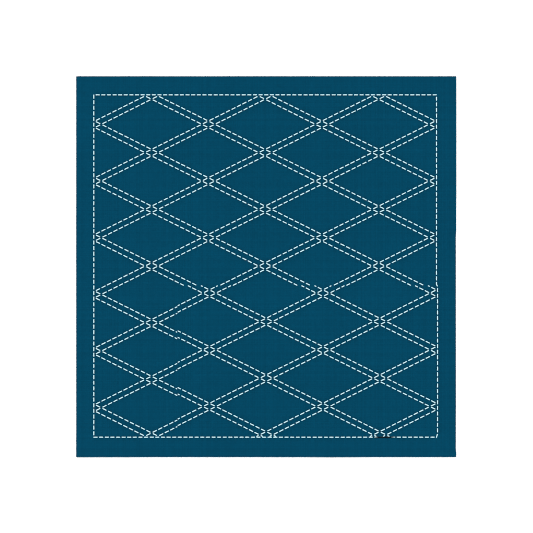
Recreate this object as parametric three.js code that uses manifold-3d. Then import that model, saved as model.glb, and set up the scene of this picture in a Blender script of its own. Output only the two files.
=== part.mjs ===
// Sashiko sampler: one square of deep blue cotton, stitched all over with a lattice of doubled
// lines inside a stitched frame. It lies flat, face up. Millimetres: +X is its right-hand side,
// +Y its top edge and +Z its face. The origin is the middle of its underside.
import * as THREE from 'three';
import { mergeVertices } from 'three/addons/utils/BufferGeometryUtils.js';
import Module from 'manifold-3d';

// The cut cloth. Part of its right-hand edge is cut a hair short.
const CLOTH_WIDTH = 340;
const CLOTH_LENGTH = 340.8;
const CLOTH_THICKNESS = 1;
const SHORT_CUT = { depth: 0.25, run: 8, fromTop: 141, toTop: 334 };

// The stitched frame, by its distance from the cut edges.
const FRAME_INSET = { left: 15.75, right: 17.6, top: 16.65, bottom: 17.8 };

// The lattice: pairs of lines that cross at every other point of a grid of columns and rows.
// At a crossing each line turns back instead of running over the next one.
const COLUMNS = 7;
const ROWS = 13;
const COLUMN_PITCH = 50.8;
const ROW_PITCH = 25.37;
const FIRST_CROSSING = { fromLeft: 16.65, fromTop: 17.65 };
const CROSSING_HALF_WIDTH = 5.83;
const CROSSING_HALF_HEIGHT = CROSSING_HALF_WIDTH * ROW_PITCH / COLUMN_PITCH;
const TURN_CUT = 1.3;

// The lower right field was stitched a little off: it starts at these distances from the top
// left corner, and lies this far to the right and up.
const SLIPPED_FIELD = { fromLeft: 90.6, fromTop: 187.3, right: 0.95, up: 1.15 };

// A stitched line stands up from the face as a low ridge, one thread wide. Its section has these
// half-widths at its foot, which is sunk into the cloth, and at its crown.
const LINE_FOOT = 0.7;
const LINE_CROWN = 0.4;
const LINE_RISE = 0.55;
const LINE_SINK = 0.3;

// Vertices nearer than this are one vertex.
const MERGE_DISTANCE = 1e-5;

const LEFT = -CLOTH_WIDTH / 2;
const RIGHT = CLOTH_WIDTH / 2;
const TOP = CLOTH_LENGTH / 2;
const BOTTOM = -CLOTH_LENGTH / 2;
const FRAME_LEFT = LEFT + FRAME_INSET.left;
const FRAME_RIGHT = RIGHT - FRAME_INSET.right;
const FRAME_TOP = TOP - FRAME_INSET.top;
const FRAME_BOTTOM = BOTTOM + FRAME_INSET.bottom;
const FIELD_LEFT = LEFT + SLIPPED_FIELD.fromLeft;
const FIELD_TOP = TOP - SLIPPED_FIELD.fromTop;

const wasm = await Module();
wasm.setup();

function toSolid(geometry) {
  geometry.deleteAttribute('normal');
  geometry.deleteAttribute('uv');
  const merged = mergeVertices(geometry, MERGE_DISTANCE);
  return new wasm.Manifold(new wasm.Mesh({
    numProp: 3,
    vertProperties: new Float32Array(merged.attributes.position.array),
    triVerts: new Uint32Array(merged.index.array),
  }));
}

function toGeometry(solid) {
  const mesh = solid.getMesh();
  const geometry = new THREE.BufferGeometry();
  geometry.setAttribute('position', new THREE.BufferAttribute(mesh.vertProperties, 3));
  geometry.setIndex(new THREE.BufferAttribute(mesh.triVerts, 1));
  geometry.computeVertexNormals();
  return geometry;
}

const point = (x, y) => new THREE.Vector2(x, y);
const columnX = (column) => LEFT + FIRST_CROSSING.fromLeft + column * COLUMN_PITCH;
const rowY = (row) => TOP - FIRST_CROSSING.fromTop - row * ROW_PITCH;

// The cloth's outline, anticlockwise from its bottom left corner.
function clothOutline() {
  const { depth, run, fromTop, toTop } = SHORT_CUT;
  return [
    point(LEFT, BOTTOM),
    point(RIGHT, BOTTOM),
    point(RIGHT, TOP - toTop),
    point(RIGHT - depth, TOP - toTop + run),
    point(RIGHT - depth, TOP - fromTop - run),
    point(RIGHT, TOP - fromTop),
    point(RIGHT, TOP),
    point(LEFT, TOP),
  ];
}

// The frame's corners. Its right-hand line steps over with the slipped field, a little too far at
// first, and back again just before the bottom corner.
function frameCorners() {
  const step = SLIPPED_FIELD.right;
  return [
    point(FRAME_LEFT, FRAME_BOTTOM),
    point(FRAME_RIGHT, FRAME_BOTTOM),
    point(FRAME_RIGHT + step, FRAME_BOTTOM + 3 * step),
    point(FRAME_RIGHT + step, FIELD_TOP - 3 * step),
    point(FRAME_RIGHT + 1.5 * step, FIELD_TOP - 1.5 * step),
    point(FRAME_RIGHT, FIELD_TOP + step),
    point(FRAME_RIGHT, FRAME_TOP),
    point(FRAME_LEFT, FRAME_TOP),
  ];
}

// One line of the lattice, from above the frame to below it. It threads the crossings of one
// column, on the side that toward gives, and turns back at those of the next column there.
function latticeCorners(column, toward) {
  const corners = [];
  for (let row = -1; row <= ROWS; row += 1) {
    const y = rowY(row);
    const threads = (column + row) % 2 !== 0;
    if (threads) {
      corners.push(point(columnX(column), y + CROSSING_HALF_HEIGHT));
      corners.push(point(columnX(column) + toward * CROSSING_HALF_WIDTH, y));
      corners.push(point(columnX(column), y - CROSSING_HALF_HEIGHT));
    } else {
      corners.push(point(columnX(column + toward) - toward * CROSSING_HALF_WIDTH, y));
    }
  }
  return corners;
}

// Cuts each corner between the ends of a line short, so that the line bends in two steps.
function cutCorners(corners) {
  const points = [corners[0]];
  for (let i = 1; i < corners.length - 1; i += 1) {
    for (const neighbour of [corners[i - 1], corners[i + 1]]) {
      const along = neighbour.clone().sub(corners[i]).setLength(TURN_CUT);
      points.push(corners[i].clone().add(along));
    }
  }
  points.push(corners.at(-1));
  return points;
}

// The ridge of one stitched line: a four-sided section swept along its points, mitred at each.
function ridge(points, closed) {
  const base = CLOTH_THICKNESS - LINE_SINK;
  const crest = CLOTH_THICKNESS + LINE_RISE;
  const section = [[-LINE_FOOT, base], [LINE_FOOT, base], [LINE_CROWN, crest], [-LINE_CROWN, crest]];
  const count = points.length;
  const sides = section.length;
  const position = [];
  const index = [];
  for (let i = 0; i < count; i += 1) {
    const before = closed || i > 0 ? points[(i + count - 1) % count] : null;
    const after = closed || i < count - 1 ? points[(i + 1) % count] : null;
    const arriving = (before ? points[i].clone().sub(before) : after.clone().sub(points[i])).normalize();
    const leaving = (after ? after.clone().sub(points[i]) : arriving.clone()).normalize();
    const along = arriving.clone().add(leaving).normalize();
    const across = point(along.y, -along.x).divideScalar(along.dot(arriving));
    for (const [offset, height] of section) {
      position.push(points[i].x + across.x * offset, points[i].y + across.y * offset, height);
    }
  }
  for (let i = 0; i < (closed ? count : count - 1); i += 1) {
    for (let side = 0; side < sides; side += 1) {
      const a = i * sides + side;
      const b = i * sides + (side + 1) % sides;
      const c = ((i + 1) % count) * sides + side;
      const d = ((i + 1) % count) * sides + (side + 1) % sides;
      index.push(a, c, b, b, c, d);
    }
  }
  if (!closed) {
    const last = (count - 1) * sides;
    index.push(0, 1, 2, 0, 2, 3);
    index.push(last, last + 2, last + 1, last, last + 3, last + 2);
  }
  const geometry = new THREE.BufferGeometry();
  geometry.setAttribute('position', new THREE.Float32BufferAttribute(position, 3));
  geometry.setIndex(index);
  return toSolid(geometry);
}

// A tall block over a rectangle of the cloth, to cut the lattice with.
function blockOver(left, right, bottom, top) {
  const height = 4 * CLOTH_THICKNESS;
  const block = new THREE.BoxGeometry(right - left, top - bottom, height);
  block.translate((left + right) / 2, (bottom + top) / 2, CLOTH_THICKNESS);
  return toSolid(block);
}

// The whole lattice, cut at the frame's lines, with its lower right field slipped.
function latticeRidges() {
  const lines = [];
  for (let column = 0; column < COLUMNS - 1; column += 1) {
    lines.push(ridge(cutCorners(latticeCorners(column, 1)), false));
    lines.push(ridge(cutCorners(latticeCorners(column + 1, -1)), false));
  }
  const lattice = wasm.Manifold.union(lines);
  const { right, up } = SLIPPED_FIELD;
  const inFrame = blockOver(FRAME_LEFT, FRAME_RIGHT, FRAME_BOTTOM, FRAME_TOP);
  const inField = blockOver(FIELD_LEFT, FRAME_RIGHT + right, FRAME_BOTTOM, FIELD_TOP);
  const straight = lattice.intersect(inFrame).subtract(inField);
  const slipped = lattice.translate([right, up, 0]).intersect(inField);
  return [straight, slipped];
}

function clothMesh() {
  const sheet = new THREE.ExtrudeGeometry(new THREE.Shape(clothOutline()), {
    depth: CLOTH_THICKNESS,
    bevelEnabled: false,
  });
  const solid = wasm.Manifold.union([toSolid(sheet), ridge(frameCorners(), true), ...latticeRidges()]);
  const cotton = new THREE.MeshStandardMaterial({ color: 0x074762, roughness: 0.95, metalness: 0 });
  const mesh = new THREE.Mesh(toGeometry(solid), cotton);
  mesh.name = 'cloth';
  return mesh;
}

const sampler = new THREE.Group();
sampler.add(clothMesh());

export default sampler;
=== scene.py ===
# Looks of a sashiko sampler: a square of deep blue cotton, lying face up, with white thread in
# running stitch. The stitching is a lattice of doubled lines inside a stitched frame.
import math

import bpy
import numpy as np
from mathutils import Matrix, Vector
from mathutils.geometry import delaunay_2d_cdt


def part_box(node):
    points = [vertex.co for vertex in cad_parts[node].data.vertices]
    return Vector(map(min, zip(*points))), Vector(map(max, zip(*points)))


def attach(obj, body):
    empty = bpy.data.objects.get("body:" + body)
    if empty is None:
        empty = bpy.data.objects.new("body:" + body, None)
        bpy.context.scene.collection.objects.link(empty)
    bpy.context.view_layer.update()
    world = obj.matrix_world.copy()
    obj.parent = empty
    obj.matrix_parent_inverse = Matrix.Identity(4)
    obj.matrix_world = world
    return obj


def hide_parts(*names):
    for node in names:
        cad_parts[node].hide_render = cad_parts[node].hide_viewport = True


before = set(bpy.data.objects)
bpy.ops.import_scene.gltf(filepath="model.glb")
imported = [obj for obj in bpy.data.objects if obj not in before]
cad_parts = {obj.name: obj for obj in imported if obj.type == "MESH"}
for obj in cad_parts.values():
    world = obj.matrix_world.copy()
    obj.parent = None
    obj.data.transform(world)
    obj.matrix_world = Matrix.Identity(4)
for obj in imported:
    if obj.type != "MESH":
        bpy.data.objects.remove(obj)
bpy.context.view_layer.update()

# Everything is worked out in millimetres and turned into metres when a mesh is made.
MM = 0.001

# The photograph: its side in pixels, its scale, and where the middle of the cloth lies in it.
PHOTO_SIDE = 533
MM_PER_PIXEL = 0.895
CLOTH_MIDDLE_PIXEL = (266.2, 266.68)

# The cloth's edges come from the frame's node. Part of the right-hand edge is cut a hair short.
cloth_low, cloth_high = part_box("cloth")
LEFT, BOTTOM = cloth_low.x / MM, cloth_low.y / MM
RIGHT, TOP = cloth_high.x / MM, cloth_high.y / MM
SHORT_CUT = {"depth": 0.36, "run": 4.5, "from_top": 139.5, "to_top": 336.3}

# The stitched frame, by its distance from the cut edges: how many stitches each side has, how
# much of one shows, and how far the middle of the first lies from its corner.
FRAME_LEFT = LEFT + 15.75
FRAME_RIGHT = RIGHT - 17.6
FRAME_TOP = TOP - 16.65
FRAME_BOTTOM = BOTTOM + 17.8
FRAME_STITCHES = 61
FRAME_STITCH = 4.0
FRAME_FIRST = 1.55

# The lattice crosses at every other point of a grid of columns and rows. Its lines turn back at
# a crossing, and every turn is a gap between two stitches, which lie from CORNER_GAP to
# CORNER_REACH off its corner. Other stitches fill the line evenly up to the next crossing.
COLUMNS = 7
ROWS = 13
COLUMN_PITCH = 50.8
ROW_PITCH = 25.37
FIRST_COLUMN = LEFT + 16.65
FIRST_ROW = TOP - 17.65
CROSSING_HALF_WIDTH = 5.83
CROSSING_HALF_HEIGHT = CROSSING_HALF_WIDTH * ROW_PITCH / COLUMN_PITCH
CORNER_GAP = 0.9
CORNER_REACH = 5.4
LATTICE_STITCH = 4.5
STITCHES_BETWEEN_CORNERS = 7

# The lower right field was stitched a little off: to the right and up. The frame's own stitches
# beside it lie a hair low, and the one that starts near its top reaches over it.
SLIP = np.array([0.95, 1.15])
SLIP_LEFT = LEFT + 90.6
SLIP_TOP = TOP - 187.3
SEAM_DROP = 0.32
SEAM_REACH = 0.7
SEAM_NEAR = 1

# Thread: half-width and half-height where it lies on the face and under the cloth, the rounding
# of its plies, and the length in which they turn once round it.
FACE_SECTION = (0.515, 0.33)
BACK_SECTION = (0.46, 0.25)
PLY_PROFILE = (1.0, 0.93, 0.74, 0.93)
PLIES = 3
TWIST_LENGTH = 3.9

# A stitch's holes lie a little inside its ends, and the thread dives through the cloth within
# DIVE of a hole. Its two tails run on behind the cloth, and the last is aimed from TAIL_AIM
# points back. Stitches cut shorter than the shortest are left out.
HOLE_INSET = 0.24
DIVE = 0.42
TAIL = 4.5
TAIL_AIM = 10
SHORTEST_STITCH = 1.0
STITCH_JITTER = 0.05

# The thread is pinched where it goes through the cloth, most where it is this far over it. It
# has a knot near both ends, closes at its tips, and is uneven in slow waves.
PINCH = {"share": 0.3, "over": 0.4, "spread": 0.22}
KNOT = {"from_end": 0.7, "half_length": 0.35, "swell": 0.35}
TIP = {"length": 0.4, "least": 0.05}
UNEVEN = ({"length": 31, "share": 0.02}, {"length": 13, "share": 0.02}, {"length": 5.7, "share": 0.015})

# The step of a thread's path, and of the rings of its mesh on the face and behind.
PATH_STEP = 0.1
RING_SPACING = 0.32
BACK_RING_SPACING = 0.5
BEHIND = 0.02

# Cloth: its thickness, the height of its middle layer away from the stitching and along it, how
# far it rises over a stitch at the back, and how deep a thread beds into it.
CLOTH_THICKNESS = 0.5
PLAIN_HEIGHT = 0.31
STITCHED_HEIGHT = 0.62
RAISING = 1.7
BACK_LIFT = 0.34
MOST_LIFT = 0.6
BEDDING = 0.06
WIDE_REACH = 2.6
NEAR_REACH = 0.6

# Faint waves of the pressed cloth, three of each kind, and how softly they meet the table.
WAVES = (
    {"length": 160, "height": 0.16}, {"length": 95, "height": 0.09},
    {"length": 60, "height": 0.05}, {"length": 34, "height": 0.02},
)
WAVES_OF_A_KIND = 3
WAVE_FOOT = 0.08

# Nothing lies lower than this over the table.
GROUND = 0.01

# Painted shade darkens the cotton beside the stitches on its face, and less so between them where the
# thread is behind.
PAINTED_SHADE_REACH = 0.95
PAINTED_SHADE_DEPTH = 0.6
PAINTED_SHADE_WEIGHT = {"behind": -0.6, "more_on_face": 1.6}

# The cut edge of the sheet: its points lie this far apart and stray a hair, and its middle layer
# stands out between its rounded rims. A point this near to an edge belongs to it.
EDGE_SPACING = 1.6
EDGE_STRAY = 0.02
EDGE_BAND = 1
RIM_ROUND = 0.08
RIM_BULGE = 0.06
SHARP_ANGLE = 50

# Points of the sheet, side by side with every thread: on both sides at an offset, a step apart
# along it. A grid fills the rest. Each point stays clear of those before it, and of the edge.
FACE_LAYERS = (
    {"offset": 0, "step": 0.95, "clear": 0.6},
    {"offset": 0.75, "step": 0.95, "clear": 0.6},
    {"offset": 1.7, "step": 1.2, "clear": 0.8},
)
BACK_LAYERS = (
    {"offset": 0, "step": 1.7, "clear": 1.2},
    {"offset": 1.4, "step": 1.9, "clear": 1.2},
)
FACE_GRID = {"spacing": 2.5, "clear": 1.7}
BACK_GRID = {"spacing": 3.6, "clear": 2.4}
CLEAR_OF_EDGE = 0.7

# The cloth's own yarns: how far apart they lie, how high they wave, and how narrow they are. The
# sheet's edge lies a little inside the cut, and their cut ends stand out from it, each with its
# own reach, lean and droop. They are high and low in turn.
YARN_PITCH = 0.55
YARN_WAVE = 0.55
YARN_GAP = 2.08
EDGE_INSET = 0.1
EDGE_YARN = {
    "root": 0.4, "reach": 0.25, "spread": 0.07, "stray": 0.04, "lean": 0.3,
    "half_width": 0.2, "half_height": 0.15, "rise": 0.07,
}
YARN_SIZE = {"root": 0.8, "body": 1.0, "tip": 0.55}
YARN_BODY = 0.6
YARN_SIDES = 6

# A stain has darkened the thread and the cloth over a short stretch of the frame's bottom line.
# It fades at its rim and its ends are ragged.
STAIN = {"x": 105.8, "y": FRAME_BOTTOM - 0.15, "half_length": 8.7, "half_width": 0.72}
STAIN_SOFT = {"length": 3.5, "width": 0.22}
STAIN_RAGGED = {"scale": 700.0, "line": (0.0016, -0.0008)}

# Colours are linear.
COTTON_COLOUR = (0.0006, 0.0485, 0.0945)
THREAD_COLOUR = (0.62, 0.91, 0.98)
STAIN_COLOUR = (0.001, 0.005, 0.007)
STAIN_SHADE = 0.82

# Scales of noise, per metre. The weave's yarns wander, are thicker in places, and are spun from
# fibres. The dye lies in patches with a finer mottle. Weft yarns are numbered apart from warp.
WANDER = {"scale": 55.0, "reach": 0.0009}
THINNESS = {
    "apart": 5.3, "along": 0.13, "noise": (0.25, 0.75), "range": (0.86, 1.18),
    "warp_seed": 3.1, "weft_seed": 8.7,
}
WEFT_FROM = 5000.5
SPUN = {"along": 9.0, "across": 5.0, "scale": 2500.0, "stray": 9.0}
FIBRES = 7000.0
DYE = {"patches": 14.0, "mottle": 160.0}
YARN_PATCHES = {"scale": 900.0, "noise": (0.3, 0.7), "range": (0.8, 1.1)}

# The thread's fibres run along its plies and stray from them, under a fuzz. Painted shade darkens it in
# the grooves between its plies.
STRAND = {"stretch": (1.6, 1.6, 0.8), "scale": 2.0, "fibres": 18.0, "stray": 9.0}
FUZZ = 9000.0
GROOVE_PAINTED_SHADE = {"power": 1.5, "shade": 0.34}

# How much the fine parts of each material add to its height.
COTTON_RELIEF = {"fibres": 0.3, "spun": 0.05}
THREAD_RELIEF = {"fibres": 0.6, "fuzz": 0.9}

# Bump and finish of each material, by the names of Blender's sockets.
COTTON_BUMP = {"Strength": 0.9, "Distance": 0.00015}
COTTON_FINISH = {
    "Roughness": 0.95, "Specular IOR Level": 0.03,
    "Sheen Weight": 0.04, "Sheen Roughness": 0.45, "Sheen Tint": (0.25, 0.7, 1.0, 1.0),
}
YARN_END_BUMP = {"Strength": 0.5, "Distance": 0.00005}
YARN_END_FINISH = {"Roughness": 0.95, "Specular IOR Level": 0.03}
THREAD_BUMP = {"Strength": 0.5, "Distance": 0.00006}
THREAD_FINISH = {
    "Roughness": 0.85, "Specular IOR Level": 0.15, "Sheen Weight": 0.1, "Sheen Roughness": 0.4,
}
FLOOR_FINISH = {"Base Color": (0.88, 0.88, 0.88, 1), "Roughness": 1.0, "Specular IOR Level": 0.0}

# The room.
FACE_HEIGHT = 0.9
FLOOR_HALF = 3000
WORLD_STRENGTH = 0.825
KEY_LIGHT = {"energy": 1.96, "width": 14, "turn": (-26, -19, 0)}
CAMERA = {"lens": 100, "sensor_width": 36}
FILTER_WIDTH = 1.0

rng = np.random.default_rng(20)


# Lines of stitching in plan


def column_x(column):
    return FIRST_COLUMN + column * COLUMN_PITCH


def row_y(row):
    return FIRST_ROW - row * ROW_PITCH


def lattice_corners(column, toward):
    """Corners of one lattice line, from above the frame to below it. It threads the crossings of
    a column on the side that toward gives, and turns back at those of the next column there."""
    corners = []
    for row in range(-2, ROWS + 2):
        x, y = column_x(column), row_y(row)
        if (column + row) % 2:
            corners.append((x, y + CROSSING_HALF_HEIGHT))
            corners.append((x + toward * CROSSING_HALF_WIDTH, y))
            corners.append((x, y - CROSSING_HALF_HEIGHT))
        else:
            corners.append((column_x(column + toward) - toward * CROSSING_HALF_WIDTH, y))
    return np.array(corners)


def lengths_along(points):
    """Distance of each point from the first, along the line."""
    return np.concatenate([[0], np.cumsum(np.linalg.norm(np.diff(points, axis=0), axis=1))])


def evenly_spaced(points, step):
    """The same line with a point every step."""
    along = lengths_along(points)
    places = np.arange(0, along[-1], step)
    return np.stack([np.interp(places, along, line) for line in points.T], axis=1)


def lattice_strokes(turns):
    """Start and end of each stitch on a lattice line, by distance along it. Two of the corners of
    a crossing that the line threads have one stitch between them, and other corners have nine."""
    strokes = []
    for here, there in zip(turns[:-1], turns[1:]):
        if there - here < 2 * CORNER_REACH:
            strokes.append((here + CORNER_GAP, there - CORNER_GAP))
            continue
        strokes.append((here + CORNER_GAP, here + CORNER_REACH))
        room = there - here - 2 * CORNER_REACH - STITCHES_BETWEEN_CORNERS * LATTICE_STITCH
        gap = room / (STITCHES_BETWEEN_CORNERS + 1)
        for stitch in range(STITCHES_BETWEEN_CORNERS):
            first = here + CORNER_REACH + gap + stitch * (LATTICE_STITCH + gap)
            strokes.append((first, first + LATTICE_STITCH))
        strokes.append((there - CORNER_REACH, there - CORNER_GAP))
    return strokes


def in_frame(points):
    """Which points lie inside the frame, clear of its thread."""
    x, y = points.T
    clear = FACE_SECTION[0]
    right = np.where(y < SLIP_TOP, FRAME_RIGHT + SLIP[0], FRAME_RIGHT)
    wide = (x > FRAME_LEFT + clear) & (x < right - clear)
    return wide & (y > FRAME_BOTTOM + clear) & (y < FRAME_TOP - clear)


def in_slipped_field(points):
    x, y = points.T
    return (x > SLIP_LEFT) & (y < SLIP_TOP)


def runs_inside(stroke, inside):
    """The parts of a stroke that lie inside, given for each step along the line."""
    first = max(0, math.ceil(stroke[0] / PATH_STEP))
    last = min(len(inside) - 1, math.floor(stroke[1] / PATH_STEP))
    flags = np.concatenate([[False], inside[first:last + 1], [False]]).astype(int)
    starts = np.flatnonzero(np.diff(flags) == 1)
    ends = np.flatnonzero(np.diff(flags) == -1) - 1
    for start, end in zip(starts, ends):
        if (end - start) * PATH_STEP >= SHORTEST_STITCH:
            yield (first + start) * PATH_STEP, (first + end) * PATH_STEP


def jittered(stroke):
    """A stitch by hand is never quite the same length as the next."""
    start, end = stroke
    return start + rng.normal(0, STITCH_JITTER), end + rng.normal(0, STITCH_JITTER)


def lattice_line(column, toward):
    """One line of the lattice as (points, strokes). Each stroke is (start, end, shift)."""
    corners = lattice_corners(column, toward)
    turns = lengths_along(corners)
    points = evenly_spaced(corners, PATH_STEP)
    strokes = []
    for shift, slipped in ((np.zeros(2), False), (SLIP, True)):
        moved = points + shift
        inside = in_frame(moved) & (in_slipped_field(moved) == slipped)
        for stroke in lattice_strokes(turns):
            for start, end in runs_inside(jittered(stroke), inside):
                strokes.append((start, end, shift))
    strokes.sort(key=lambda stroke: stroke[0] + stroke[1])
    return points, strokes


def frame_line(corners, seam=0):
    """One side of the frame as (points, strokes), from its first corner to its last. The stitches
    up to a seam, a distance along it, keep to the first corner, and those past it to the last."""
    corners = np.array(corners)
    points = evenly_spaced(corners, PATH_STEP)
    pitch = np.linalg.norm(corners[-1] - corners[0]) / FRAME_STITCHES
    spare = lengths_along(corners)[-1] - FRAME_STITCHES * pitch
    strokes = []
    for stitch in range(FRAME_STITCHES):
        centre = FRAME_FIRST + stitch * pitch
        centre += spare if centre > seam else -SEAM_DROP
        start, end = jittered((centre - FRAME_STITCH / 2, centre + FRAME_STITCH / 2))
        start -= SEAM_REACH if seam and abs(start - seam) < SEAM_NEAR else 0
        strokes.append((start, end, np.zeros(2)))
    return points, strokes


# Thread paths


def point_at(points, distance):
    """The point at a distance along an evenly spaced line, which runs straight on past its ends."""
    place = distance / PATH_STEP
    index = int(np.clip(math.floor(place), 0, len(points) - 2))
    return points[index] + (points[index + 1] - points[index]) * (place - index)


def smoothed(values, passes=3):
    """Softens the corners of a path, whose ends stay."""
    for _ in range(passes):
        middle = (values[:-2] + 2 * values[1:-1] + values[2:]) / 4
        values = np.concatenate([values[:1], middle, values[-1:]])
    return values


def straight(start, end):
    """Points from start up to end, a step apart."""
    count = max(2, round(np.linalg.norm(end - start) / PATH_STEP))
    return start + (end - start) * (np.arange(count) / count)[:, None]


def smoothstep(values):
    values = np.clip(values, 0, 1)
    return values * values * (3 - 2 * values)


def thread_path(line):
    """The thread's plan, and how far it is over the cloth: 1 on the face, 0 at the back. It comes
    up through a hole at a stroke's start, goes down at its end, and runs on behind the cloth."""
    points, strokes = line
    plan = []
    beyond_hole = []
    hole = None
    for start, end, shift in strokes:
        start, end = start + HOLE_INSET, end - HOLE_INSET
        first, last = point_at(points, start) + shift, point_at(points, end) + shift
        if hole is None:
            direction = point_at(points, start + TAIL) + shift - first
            hole = first - direction / np.linalg.norm(direction) * TAIL
        link = straight(hole, first)
        covered = lengths_along(link)
        room = np.linalg.norm(first - hole)
        plan.append(link)
        beyond_hole.append(-np.minimum(covered if len(beyond_hole) else room, room - covered))
        places = np.arange(start, end, PATH_STEP)
        plan.append(np.array([point_at(points, place) for place in places]) + shift)
        beyond_hole.append(np.minimum(places - start, end - places))
        hole = last
    direction = plan[-1][-1] - plan[-1][-TAIL_AIM]
    tail = straight(hole, hole + direction / np.linalg.norm(direction) * TAIL)
    plan.append(tail)
    beyond_hole.append(-lengths_along(tail))
    height = smoothstep(0.5 + np.concatenate(beyond_hole) / (2 * DIVE))
    return smoothed(np.concatenate(plan)), smoothed(height[:, None])[:, 0]


def all_thread_paths():
    """Every thread by name, as (plan, over)."""
    paths = {}
    for column in range(COLUMNS - 1):
        paths[f"lattice_thread_{2 * column + 1}"] = thread_path(lattice_line(column, 1))
        paths[f"lattice_thread_{2 * column + 2}"] = thread_path(lattice_line(column + 1, -1))
    step = SLIP[0]
    top_left, top_right = (FRAME_LEFT, FRAME_TOP), (FRAME_RIGHT, FRAME_TOP)
    bottom_left, bottom_right = (FRAME_LEFT, FRAME_BOTTOM), (FRAME_RIGHT, FRAME_BOTTOM)
    right_side = [
        bottom_right,
        (FRAME_RIGHT + step, FRAME_BOTTOM + 3 * step),
        (FRAME_RIGHT + step, SLIP_TOP - 3 * step),
        (FRAME_RIGHT + 1.5 * step, SLIP_TOP - 1.5 * step),
        (FRAME_RIGHT, SLIP_TOP + step),
        top_right,
    ]
    sides = {
        "left": [top_left, bottom_left],
        "bottom": [bottom_left, bottom_right],
        "right": right_side,
        "top": [top_right, top_left],
    }
    for side, corners in sides.items():
        seam = SLIP_TOP - FRAME_BOTTOM if side == "right" else 0
        paths[f"frame_thread_{side}"] = thread_path(frame_line(corners, seam))
    return paths


# Relief of the cloth


class Relief:
    """Height of the cloth's middle layer over the table, on a grid. It is raised along the stitching by
    the thread behind it, pressed down under each stitch and lifted between them. It also holds a grid of
    painted shade beside the stitches."""

    CELL = 0.25
    BORDER = 15

    def __init__(self, paths):
        self.corner = np.array([LEFT, BOTTOM]) - self.BORDER
        size = np.array([RIGHT - LEFT, TOP - BOTTOM]) + 2 * self.BORDER
        self.shape = tuple(np.ceil(size / self.CELL).astype(int) + 1)
        plan = np.concatenate([path[0] for path in paths.values()])
        over = np.concatenate([path[1] for path in paths.values()])
        wide = self.spread(plan, np.ones(len(plan)), WIDE_REACH)
        near = self.spread(plan, 0.5 - over, NEAR_REACH)
        raised = 1 - np.exp(-RAISING * wide)
        self.grid = PLAIN_HEIGHT + (STITCHED_HEIGHT - PLAIN_HEIGHT) * raised + self.waves()
        self.grid += BACK_LIFT * np.clip(near, -MOST_LIFT, MOST_LIFT)
        # Painted shade for the cotton's colour: strongest beside the stitches on the face, weaker where
        # the thread is behind.
        shade_weight = PAINTED_SHADE_WEIGHT["behind"] + PAINTED_SHADE_WEIGHT["more_on_face"] * over
        self.stitch_painted_shade = self.spread(plan, shade_weight, PAINTED_SHADE_REACH)

    def spread(self, points, weights, reach):
        """Drops the weights on the grid and blurs them, so that a line of ones has height one."""
        grid = np.zeros(self.shape)
        place = (points - self.corner) / self.CELL
        base = np.floor(place).astype(int)
        part = place - base
        for dx in (0, 1):
            for dy in (0, 1):
                share = np.abs(1 - dx - part[:, 0]) * np.abs(1 - dy - part[:, 1])
                np.add.at(grid, (base[:, 0] + dx, base[:, 1] + dy), weights * share)
        fx = np.fft.fftfreq(self.shape[0], self.CELL)[:, None]
        fy = np.fft.rfftfreq(self.shape[1], self.CELL)[None, :]
        kernel = np.exp(-2 * (math.pi * reach) ** 2 * (fx ** 2 + fy ** 2))
        blurred = np.fft.irfft2(np.fft.rfft2(grid) * kernel, s=self.shape)
        return blurred * PATH_STEP * math.sqrt(2 * math.pi) * reach / self.CELL ** 2

    def waves(self):
        """Broad, faint waves of a pressed cloth, which lies on the table between them."""
        x = np.arange(self.shape[0])[:, None] * self.CELL
        y = np.arange(self.shape[1])[None, :] * self.CELL
        total = np.zeros(self.shape)
        for wave in WAVES:
            for _ in range(WAVES_OF_A_KIND):
                angle, phase = rng.uniform(0, 2 * math.pi, 2)
                along = (x * math.cos(angle) + y * math.sin(angle)) / wave["length"]
                total += wave["height"] * np.sin(2 * math.pi * along + phase)
        return (total + np.sqrt(total ** 2 + WAVE_FOOT ** 2)) / 2

    def at(self, points, grid=None):
        """Height at each point, or another grid's value."""
        grid = self.grid if grid is None else grid
        place = (points - self.corner) / self.CELL
        base = np.floor(place).astype(int)
        part = place - base
        total = np.zeros(len(points))
        for dx in (0, 1):
            for dy in (0, 1):
                share = np.abs(1 - dx - part[:, 0]) * np.abs(1 - dy - part[:, 1])
                total += share * grid[base[:, 0] + dx, base[:, 1] + dy]
        return total


# Meshes


def new_object(name, vertices, faces, material):
    """A smooth-shaded object from vertices in millimetres."""
    mesh = bpy.data.meshes.new(name)
    mesh.from_pydata(np.asarray(vertices) * MM, [], faces)
    mesh.shade_smooth()
    mesh.materials.append(material)
    made = bpy.data.objects.new(name, mesh)
    bpy.context.scene.collection.objects.link(made)
    return made


def ring_places(along, over):
    """Where the thread's rings go: close together on the face and in the holes, wider behind."""
    spacing = np.where(over > BEHIND, RING_SPACING, BACK_RING_SPACING)
    rings = np.concatenate([[0], np.cumsum(np.diff(along) / spacing[1:])])
    return np.interp(np.linspace(0, rings[-1], round(rings[-1])), rings, along)


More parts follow.
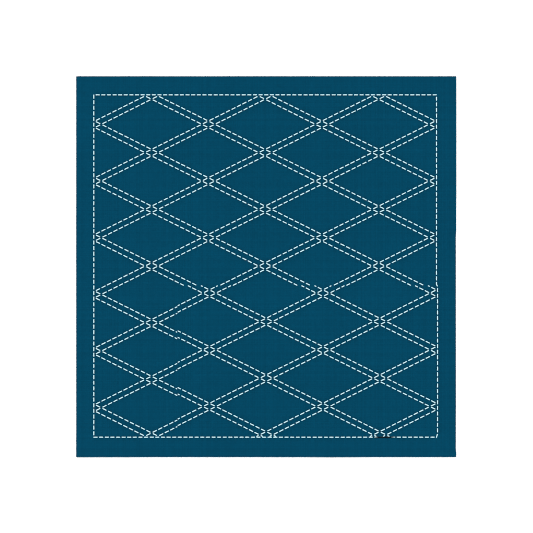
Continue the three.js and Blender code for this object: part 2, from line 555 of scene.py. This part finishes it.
def thread_object(name, path, relief, material):
    """The thread as a twisted yarn of three plies, flattened on the cloth, knotted at its ends."""
    plan, over = path
    face, back = np.array(FACE_SECTION), np.array(BACK_SECTION)
    pinch = PINCH["share"] * np.exp(-((over - PINCH["over"]) / PINCH["spread"]) ** 2)
    section = (back + (face - back) * over[:, None]) * (1 - pinch)[:, None]
    offset = (2 * over - 1) * (CLOTH_THICKNESS / 2 + section[:, 1] - BEDDING)
    from_start = lengths_along(plan)
    from_end = np.minimum(from_start, from_start[-1] - from_start)
    swell = KNOT["swell"] * np.exp(-((from_end - KNOT["from_end"]) / KNOT["half_length"]) ** 2)
    for wave in UNEVEN:
        phase = rng.uniform(0, 2 * math.pi)
        swell += wave["share"] * np.sin(2 * math.pi * from_start / wave["length"] + phase)
    tip = np.sqrt(np.clip(from_end / TIP["length"], TIP["least"], 1))
    section = section * ((1 + swell) * tip)[:, None]
    height = np.maximum(relief.at(plan) + offset, section[:, 1] + GROUND)
    fine = np.column_stack([plan, height, section])
    along = lengths_along(fine[:, :3])
    places = ring_places(along, over)
    count = len(places)
    rings = np.stack([np.interp(places, along, line) for line in fine.T], axis=1)
    centre = rings[:, :3]
    tangent = np.gradient(centre, axis=0)
    tangent /= np.linalg.norm(tangent, axis=1)[:, None]
    across = np.column_stack([-tangent[:, 1], tangent[:, 0], np.zeros(count)])
    across /= np.linalg.norm(across, axis=1)[:, None]
    upward = np.cross(tangent, across)
    profile = np.tile(PLY_PROFILE, PLIES)
    points_round = len(profile)
    own_angle = np.linspace(0, 2 * math.pi, points_round, endpoint=False)
    angle = 2 * math.pi * places[:, None] / TWIST_LENGTH + own_angle
    wide = (np.cos(angle) * profile * rings[:, 3:4])[..., None]
    tall = (np.sin(angle) * profile * rings[:, 4:5])[..., None]
    vertices = centre[:, None] + wide * across[:, None] + tall * upward[:, None]
    ring = np.arange(points_round)
    first = (np.arange(count - 1) * points_round)[:, None]
    here, ahead = first + ring, first + (ring + 1) % points_round
    quads = np.stack([here, ahead, ahead + points_round, here + points_round], axis=-1)
    ends = [ring[::-1].tolist(), (ring + (count - 1) * points_round).tolist()]
    faces = quads.reshape(-1, 4).tolist() + ends
    made = new_object(name, vertices.reshape(-1, 3), faces, material)
    strand = np.empty((count, points_round, 3), np.float32)
    strand[..., 0] = np.cos(own_angle)
    strand[..., 1] = np.sin(own_angle)
    strand[..., 2] = places[:, None]
    # How deep each point lies between the plies, for the painted shade in the grooves.
    painted_groove_shade = np.tile((1 - profile) / (1 - min(profile)), count).astype(np.float32)
    layer = made.data.attributes.new("strand", "FLOAT_VECTOR", "POINT")
    layer.data.foreach_set("vector", strand.ravel())
    layer = made.data.attributes.new("painted_groove_shade", "FLOAT", "POINT")
    layer.data.foreach_set("value", painted_groove_shade)
    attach(made, "root")
    return made


def away(outline):
    """For each point of the outline, which way is off the cloth."""
    return np.sign(outline) * (np.abs(outline) > [RIGHT - EDGE_BAND, TOP - EDGE_BAND])


def cloth_outline():
    """The cut edge, anticlockwise, a hair uneven as scissors leave it."""
    depth, run = SHORT_CUT["depth"], SHORT_CUT["run"]
    low, high = TOP - SHORT_CUT["to_top"], TOP - SHORT_CUT["from_top"]
    corners = [
        (LEFT, BOTTOM), (RIGHT, BOTTOM), (RIGHT, low), (RIGHT - depth, low + run),
        (RIGHT - depth, high - run), (RIGHT, high), (RIGHT, TOP), (LEFT, TOP),
    ]
    ring = []
    for start, end in zip(corners, corners[1:] + corners[:1]):
        start, end = np.array(start), np.array(end)
        count = max(1, round(np.linalg.norm(end - start) / EDGE_SPACING))
        ring.append(start + (end - start) * (np.arange(count) / count)[:, None])
    ring = np.concatenate(ring)
    return ring - away(ring) * (EDGE_INSET + rng.normal(0, EDGE_STRAY, (len(ring), 1)))


def beside_lines(paths, offset, step):
    """Points beside every thread, a step apart along it, at an offset to both sides."""
    sides = sorted({-offset, offset})
    found = []
    for plan, _ in paths.values():
        line = evenly_spaced(plan, step)
        along = np.gradient(line, axis=0)
        normal = np.column_stack([-along[:, 1], along[:, 0]])
        normal /= np.maximum(np.linalg.norm(normal, axis=1), 1e-9)[:, None]
        found.extend(line + normal * side for side in sides)
    return np.concatenate(found)


def staggered_grid(spacing):
    """Points over the whole cloth, each row set off from the next."""
    height = spacing * math.sqrt(3) / 2
    found = []
    for index, y in enumerate(np.arange(BOTTOM, TOP, height)):
        x = np.arange(LEFT + spacing / 2 * (index % 2), RIGHT, spacing)
        found.append(np.column_stack([x, np.full(len(x), y)]))
    return np.concatenate(found)


def well_spaced(outline, layers):
    """The outline, and the points of each layer that lie at least its spacing from those before."""
    cell = 0.5
    kept = [tuple(point) for point in outline]
    cells = {}
    for point in kept:
        cells.setdefault((int(point[0] // cell), int(point[1] // cell)), []).append(point)
    for points, spacing in layers:
        inside = (np.abs(points) < [RIGHT - CLEAR_OF_EDGE, TOP - CLEAR_OF_EDGE]).all(axis=1)
        reach = math.ceil(spacing / cell)
        window = [(i, j) for i in range(-reach, reach + 1) for j in range(-reach, reach + 1)]
        limit = spacing ** 2
        for x, y in points[inside].tolist():
            i, j = int(x // cell), int(y // cell)
            near = (other for di, dj in window for other in cells.get((i + di, j + dj), ()))
            if any((x - ox) ** 2 + (y - oy) ** 2 < limit for ox, oy in near):
                continue
            kept.append((x, y))
            cells.setdefault((i, j), []).append((x, y))
    return np.array(kept)


def triangulated(points, outline_count):
    """Triangles over the points, inside the outline that the first of them make. Three points of
    the outline, in its order, turn clockwise where they fill a hollow of the cut edge."""
    outline = list(range(outline_count))
    vertices, _, faces, sources, _, _ = delaunay_2d_cdt(
        [Vector(point) for point in points], [], [outline], 1, 1e-6, True)
    place = [source[0] for source in sources]
    triangles = []
    for face in faces:
        triangle = [place[corner] for corner in face]
        first, second, third = sorted(triangle)
        ahead, beyond = points[second] - points[first], points[third] - points[first]
        if third >= outline_count or ahead[0] * beyond[1] - ahead[1] * beyond[0] > 0:
            triangles.append(triangle)
    return triangles


def sheet_points(paths, outline, layers, grid):
    """Points of one side of the cloth: its outline, those beside the threads and those of a grid."""
    spaced = []
    for layer in layers:
        spaced.append((beside_lines(paths, layer["offset"], layer["step"]), layer["clear"]))
    spaced.append((staggered_grid(grid["spacing"]), grid["clear"]))
    return well_spaced(outline, spaced)


def cloth_object(paths, relief, material):
    """The cloth as one closed sheet. Its points follow the stitching, close together beside it and
    further apart between, finer on the face than behind."""
    outline = cloth_outline()
    count = len(outline)
    face_points = sheet_points(paths, outline, FACE_LAYERS, FACE_GRID)
    back_points = sheet_points(paths, outline, BACK_LAYERS, BACK_GRID)
    face_triangles = triangulated(face_points, count)
    back_triangles = triangulated(back_points, count)
    half = CLOTH_THICKNESS / 2
    face = np.column_stack([face_points, relief.at(face_points) + half])
    back = np.column_stack([back_points, relief.at(back_points) - half])
    middle = np.column_stack([outline + away(outline) * RIM_BULGE, relief.at(outline)])
    face[:count, 2] -= RIM_ROUND
    back[:count, 2] += RIM_ROUND
    vertices = np.concatenate([face, back, middle])
    behind, between = len(face), len(face) + len(back)
    faces = list(face_triangles)
    faces += [[behind + corner for corner in triangle[::-1]] for triangle in back_triangles]
    for here in range(count):
        ahead = (here + 1) % count
        faces.append([here, between + here, between + ahead, ahead])
        faces.append([between + here, behind + here, behind + ahead, between + ahead])
    made = new_object("cloth_sheet", vertices, faces, material)
    made.data.set_sharp_from_angle(angle=math.radians(SHARP_ANGLE))
    # The painted shade beside the stitches, kept on the face's points for the cotton's colour.
    stitch_painted_shade = np.zeros(len(vertices), np.float32)
    stitch_painted_shade[:len(face)] = relief.at(face_points, relief.stitch_painted_shade)
    layer = made.data.attributes.new("stitch_painted_shade", "FLOAT", "POINT")
    layer.data.foreach_set("value", stitch_painted_shade)
    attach(made, "root")
    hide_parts("cloth")
    return made


def edge_yarns(relief, material):
    """The cut ends of the cloth's own yarns, which stand out a little along all four edges."""
    sides = [
        ((LEFT, BOTTOM), (1, 0), RIGHT - LEFT), ((RIGHT, BOTTOM), (0, 1), TOP - BOTTOM),
        ((RIGHT, TOP), (-1, 0), RIGHT - LEFT), ((LEFT, TOP), (0, -1), TOP - BOTTOM),
    ]
    short_low, short_high = TOP - SHORT_CUT["to_top"], TOP - SHORT_CUT["from_top"]
    turns = np.arange(YARN_SIDES) * 2 * math.pi / YARN_SIDES
    section = np.column_stack([np.cos(turns), np.sin(turns)])
    vertices, faces = [], []
    for corner, way, length in sides:
        way = np.array(way)
        outward = np.array([way[1], -way[0]])
        for number, place in enumerate(np.arange(YARN_PITCH, length - YARN_PITCH / 2, YARN_PITCH)):
            root = np.array(corner) + way * (place + rng.normal(0, EDGE_YARN["stray"]))
            if outward[0] > 0 and short_low < root[1] < short_high:
                root = root - outward * SHORT_CUT["depth"]
            root = root - outward * EDGE_INSET
            reach = EDGE_YARN["reach"] + abs(rng.normal(0, EDGE_YARN["spread"]))
            lean, droop = rng.normal(0, EDGE_YARN["lean"], 2) * reach
            height = relief.at(root[None])[0] + EDGE_YARN["rise"] * (-1) ** number
            base = len(vertices)
            rings = (
                (-EDGE_YARN["root"], YARN_SIZE["root"]),
                (YARN_BODY * reach, YARN_SIZE["body"]),
                (reach, YARN_SIZE["tip"]),
            )
            for outside, size in rings:
                share = max(outside, 0) / reach
                middle = root + outward * outside + way * lean * share
                for side, up in section * size:
                    spot = middle + way * side * EDGE_YARN["half_width"]
                    rise = up * EDGE_YARN["half_height"] + droop * share
                    vertices.append((*spot, max(height + rise, GROUND)))
            for step in (base, base + YARN_SIDES):
                for edge in range(YARN_SIDES):
                    here, ahead = step + edge, step + (edge + 1) % YARN_SIDES
                    faces.append((here, ahead, ahead + YARN_SIDES, here + YARN_SIDES))
            faces.append(tuple(range(base + YARN_SIDES - 1, base - 1, -1)))
            faces.append(tuple(range(base + 2 * YARN_SIDES, base + 3 * YARN_SIDES)))
    made = new_object("edge_yarns", vertices, faces, material)
    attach(made, "root")
    return made


# Materials


class Nodes:
    """A short way to build a material's nodes."""

    def __init__(self, name):
        self.material = bpy.data.materials.new(name)
        self.material.use_nodes = True
        self.tree = self.material.node_tree
        self.shader = self.tree.nodes["Principled BSDF"]

    def feed(self, socket, value):
        """Links a socket, or sets its value."""
        if isinstance(value, bpy.types.NodeSocket):
            self.tree.links.new(value, socket)
        else:
            socket.default_value = value

    def add(self, kind, inputs=None, **settings):
        node = self.tree.nodes.new(kind)
        for name, value in settings.items():
            setattr(node, name, value)
        for name, value in (inputs or {}).items():
            self.feed(node.inputs[name], value)
        return node

    def place(self):
        """The place on the object, in metres."""
        return self.add("ShaderNodeTexCoord").outputs["Object"]

    def attribute(self, name, output="Fac"):
        return self.add("ShaderNodeAttribute", attribute_name=name).outputs[output]

    def parts(self, vector):
        return self.add("ShaderNodeSeparateXYZ", {"Vector": vector}).outputs

    def math(self, operation, *values):
        node = self.add("ShaderNodeMath", operation=operation)
        for socket, value in zip(node.inputs, values):
            self.feed(socket, value)
        return node.outputs[0]

    def vector(self, operation, *values):
        node = self.add("ShaderNodeVectorMath", operation=operation)
        for socket, value in zip(node.inputs, values):
            self.feed(socket, value)
        return node.outputs[0]

    def mix(self, share, first, second):
        """A value between two others."""
        node = self.add("ShaderNodeMix", data_type="FLOAT")
        for index, value in ((0, share), (2, first), (3, second)):
            self.feed(node.inputs[index], value)
        return node.outputs[0]

    def mix_colour(self, share, first, second):
        node = self.add("ShaderNodeMix", data_type="RGBA")
        for index, value in ((0, share), (6, first), (7, second)):
            self.feed(node.inputs[index], value)
        return node.outputs[2]

    def ramp(self, value, low, high, to_low=0.0, to_high=1.0):
        """The value moved smoothly from one range to another."""
        inputs = {"Value": value, "From Min": low, "From Max": high, "To Min": to_low, "To Max": to_high}
        return self.add("ShaderNodeMapRange", inputs, interpolation_type="SMOOTHSTEP").outputs["Result"]

    def noise(self, place, scale, detail=2.0, output="Fac"):
        inputs = {"Vector": place, "Scale": scale, "Detail": detail}
        return self.add("ShaderNodeTexNoise", inputs).outputs[output]

    def line(self, value, slope, foot):
        """The value times a slope, plus a foot."""
        return self.math("MULTIPLY_ADD", value, slope, foot)

    def shaded(self, shade, by, slope, foot):
        """The shade, made lighter or darker with another value."""
        return self.math("MULTIPLY", shade, self.line(by, slope, foot))

    def scaled(self, colour, share):
        """A colour made lighter or darker by a share."""
        inputs = {"Vector": colour, "Scale": share}
        return self.add("ShaderNodeVectorMath", inputs, operation="SCALE").outputs["Vector"]

    def finish(self, colour, height, bump, values):
        """Gives the shader its colour, its bump and the values that are the same all over."""
        self.feed(self.shader.inputs["Base Color"], colour)
        node = self.add("ShaderNodeBump", {"Height": height, **bump})
        self.feed(self.shader.inputs["Normal"], node.outputs["Normal"])
        for name, value in values.items():
            self.feed(self.shader.inputs[name], value)
        return self.material

    def thinness(self, number, along, seed):
        """How thin a hand-spun yarn is at a place along it, round about one. It changes slowly."""
        place = self.add("ShaderNodeCombineXYZ", {
            "X": self.math("MULTIPLY", number, THINNESS["apart"]),
            "Y": self.math("MULTIPLY", along, THINNESS["along"]),
            "Z": seed,
        })
        noise = self.noise(place.outputs[0], 1.0, 1.0)
        return self.ramp(noise, *THINNESS["noise"], *THINNESS["range"])

    def yarn_height(self, wave, across, along, thinness):
        """Height of a round yarn that waves over and under, over the part of a cell that it fills."""
        off = self.math("MULTIPLY", self.math("SUBTRACT", across, 0.5), YARN_GAP)
        off = self.math("MULTIPLY", off, thinness)
        round_part = self.math("SUBTRACT", 1.0, self.math("MULTIPLY", off, off))
        rise = self.math("MULTIPLY", wave, self.math("SINE", self.math("MULTIPLY", along, math.pi)))
        return self.math("ADD", rise, self.math("SQRT", self.math("MAXIMUM", round_part, 0.0)))

    def chance(self, number):
        """A value between 0 and 1 that is the same wherever the number is."""
        return self.add("ShaderNodeTexWhiteNoise", {"W": number}, noise_dimensions="1D").outputs["Value"]

    def stain(self, place):
        """How dark the stain is at a place: 1 in it, 0 off it, uneven at its two ends."""
        ragged = self.line(self.noise(place, STAIN_RAGGED["scale"]), *STAIN_RAGGED["line"])
        parts = self.parts(place)
        shares = []
        for axis, middle, half, soft in (
            ("X", STAIN["x"], STAIN["half_length"], STAIN_SOFT["length"]),
            ("Y", STAIN["y"], STAIN["half_width"], STAIN_SOFT["width"]),
        ):
            off = self.math("ABSOLUTE", self.math("SUBTRACT", parts[axis], middle * MM))
            off = self.math("ADD", off, ragged) if axis == "X" else off
            shares.append(self.ramp(off, (half + soft) * MM, (half - soft) * MM))
        return self.math("MULTIPLY", *shares)


def cotton_material():
    """Plain-woven cotton dyed deep teal blue. Each yarn wanders a little and has its own shade. Painted
    shade darkens the gaps between its yarns and the cloth beside the stitches.
    """
    nodes = Nodes("teal_blue_cotton")
    place = nodes.place()
    wander = nodes.noise(place, WANDER["scale"], 1.0, "Color")
    wander = nodes.vector("SUBTRACT", wander, (0.5, 0.5, 0.5))
    moved = nodes.vector("MULTIPLY_ADD", wander, (WANDER["reach"], WANDER["reach"], 0), place)
    yarns = nodes.parts(nodes.vector("MULTIPLY", moved, (1 / (YARN_PITCH * MM),) * 3))
    warp, weft = yarns["X"], yarns["Y"]
    warp_number, weft_number = nodes.math("FLOOR", warp), nodes.math("FLOOR", weft)
    warp_part, weft_part = nodes.math("FRACT", warp), nodes.math("FRACT", weft)
    half_sum = nodes.math("MULTIPLY", nodes.math("ADD", warp_number, weft_number), 0.5)
    odd = nodes.math("MULTIPLY", nodes.math("FRACT", half_sum), 2.0)
    wave = nodes.line(odd, -2 * YARN_WAVE, YARN_WAVE)
    warp_thin = nodes.thinness(warp_number, weft, THINNESS["warp_seed"])
    weft_thin = nodes.thinness(weft_number, warp, THINNESS["weft_seed"])
    warp_height = nodes.yarn_height(wave, warp_part, weft_part, warp_thin)
    weft_height = nodes.yarn_height(nodes.math("MULTIPLY", wave, -1.0), weft_part, warp_part, weft_thin)
    weft_on_top = nodes.math("GREATER_THAN", weft_height, warp_height)
    across = nodes.mix(weft_on_top, warp_part, weft_part)
    along = nodes.mix(weft_on_top, weft, warp)
    weave = nodes.math("DIVIDE", nodes.math("MAXIMUM", warp_height, weft_height), 1 + YARN_WAVE)
    own_number = nodes.mix(weft_on_top, warp_number, nodes.math("ADD", weft_number, WEFT_FROM))
    spun = nodes.line(along, SPUN["along"], nodes.math("MULTIPLY", across, SPUN["across"]))
    spun = nodes.math("SINE", nodes.line(nodes.noise(place, SPUN["scale"]), SPUN["stray"], spun))
    fibres = nodes.noise(place, FIBRES, 3.0)
    height = nodes.line(spun, COTTON_RELIEF["spun"], weave)
    height = nodes.line(fibres, COTTON_RELIEF["fibres"], height)
    dye = nodes.math("ADD", nodes.noise(place, DYE["patches"], 3.0), nodes.noise(place, DYE["mottle"]))
    # Painted shade beside the stitches, read from the cloth's points.
    stitch_painted_shade = nodes.math("MINIMUM", nodes.math("MAXIMUM", nodes.attribute("stitch_painted_shade"), 0.0), 1.0)
    # The shade starts from each yarn's own tone. The weave row below is painted shade, darker in the low
    # gaps between the yarns.
    shade = nodes.line(nodes.chance(own_number), 0.2, 0.9)
    for row in (
        {"by": weave, "slope": 0.75, "foot": 0.45},
        {"by": spun, "slope": 0.05, "foot": 1.0},
        {"by": dye, "slope": 0.12, "foot": 0.88},
        {"by": fibres, "slope": 0.30, "foot": 0.85},
        {"by": nodes.stain(place), "slope": -STAIN_SHADE, "foot": 1.0},
        {"by": stitch_painted_shade, "slope": -PAINTED_SHADE_DEPTH, "foot": 1.0},
    ):
        shade = nodes.shaded(shade, **row)
    return nodes.finish(nodes.scaled(COTTON_COLOUR, shade), height, COTTON_BUMP, COTTON_FINISH)


def yarn_end_material():
    """The cotton's own yarns where they are cut, with fibres but without the weave."""
    nodes = Nodes("teal_blue_yarn_ends")
    place = nodes.place()
    fibres = nodes.noise(place, FIBRES, 3.0)
    patches = nodes.noise(place, YARN_PATCHES["scale"], 1.0)
    patches = nodes.ramp(patches, *YARN_PATCHES["noise"], *YARN_PATCHES["range"])
    shade = nodes.shaded(patches, by=fibres, slope=0.5, foot=0.7)
    return nodes.finish(nodes.scaled(COTTON_COLOUR, shade), fibres, YARN_END_BUMP, YARN_END_FINISH)


def thread_material():
    """Matt white cotton thread, with fine fibres that run along its plies and painted shade in the
    grooves between them.
    """
    nodes = Nodes("white_cotton_thread")
    place = nodes.place()
    strand = nodes.attribute("strand", "Vector")
    painted_groove_shade = nodes.attribute("painted_groove_shade")
    parts = nodes.parts(strand)
    turn = nodes.math("ARCTAN2", parts["Y"], parts["X"])
    rough = nodes.noise(nodes.vector("MULTIPLY", strand, STRAND["stretch"]), STRAND["scale"], 3.0)
    phase = nodes.line(turn, STRAND["fibres"], nodes.math("MULTIPLY", rough, STRAND["stray"]))
    fibres = nodes.line(nodes.math("SINE", phase), 0.5, 0.5)
    fuzz = nodes.noise(place, FUZZ, 3.0)
    height = nodes.line(fuzz, THREAD_RELIEF["fuzz"], rough)
    height = nodes.line(fibres, THREAD_RELIEF["fibres"], height)
    # Painted shade in the grooves between the plies.
    shade = nodes.line(nodes.math("POWER", painted_groove_shade, GROOVE_PAINTED_SHADE["power"]), -GROOVE_PAINTED_SHADE["shade"], 1.0)
    for row in (
        {"by": fibres, "slope": 0.07, "foot": 0.93},
        {"by": fuzz, "slope": 0.10, "foot": 0.95},
    ):
        shade = nodes.shaded(shade, **row)
    white = nodes.scaled(THREAD_COLOUR, shade)
    colour = nodes.mix_colour(nodes.stain(place), white, (*STAIN_COLOUR, 1.0))
    return nodes.finish(colour, height, THREAD_BUMP, THREAD_FINISH)


# The room


def add_floor():
    corners = [(x * FLOOR_HALF, y * FLOOR_HALF, 0) for x, y in ((-1, -1), (1, -1), (1, 1), (-1, 1))]
    nodes = Nodes("pale_floor")
    for name, value in FLOOR_FINISH.items():
        nodes.feed(nodes.shader.inputs[name], value)
    floor = new_object("floor", corners, [(0, 1, 2, 3)], nodes.material)
    return floor


def add_lights():
    world = bpy.data.worlds.new("studio")
    world.use_nodes = True
    background = world.node_tree.nodes["Background"]
    background.inputs["Color"].default_value = (1, 1, 1, 1)
    background.inputs["Strength"].default_value = WORLD_STRENGTH
    bpy.context.scene.world = world
    sun = bpy.data.lights.new("key_light", "SUN")
    sun.energy = KEY_LIGHT["energy"]
    sun.angle = math.radians(KEY_LIGHT["width"])
    key = bpy.data.objects.new("key_light", sun)
    key.rotation_euler = [math.radians(angle) for angle in KEY_LIGHT["turn"]]
    bpy.context.scene.collection.objects.link(key)


def add_camera():
    """Straight over the cloth, as far off as makes the picture's scale that of the photograph."""
    data = bpy.data.cameras.new("camera")
    data.lens = CAMERA["lens"]
    data.sensor_width = CAMERA["sensor_width"]
    camera = bpy.data.objects.new("camera", data)
    x = (PHOTO_SIDE / 2 - CLOTH_MIDDLE_PIXEL[0]) * MM_PER_PIXEL
    y = (CLOTH_MIDDLE_PIXEL[1] - PHOTO_SIDE / 2) * MM_PER_PIXEL
    distance = PHOTO_SIDE * MM_PER_PIXEL * data.lens / data.sensor_width
    camera.location = (x * MM, y * MM, (distance + FACE_HEIGHT) * MM)
    bpy.context.scene.collection.objects.link(camera)
    bpy.context.scene.camera = camera


# The scene

bpy.context.scene.view_settings.view_transform = "Standard"
bpy.context.scene.cycles.filter_width = FILTER_WIDTH
add_camera()
add_lights()
floor = add_floor()

paths = all_thread_paths()
relief = Relief(paths)
white = thread_material()
cotton = cotton_material()
threads = [thread_object(name, path, relief, white) for name, path in paths.items()]
cloth = cloth_object(paths, relief, cotton)
yarn_ends = edge_yarns(relief, yarn_end_material())
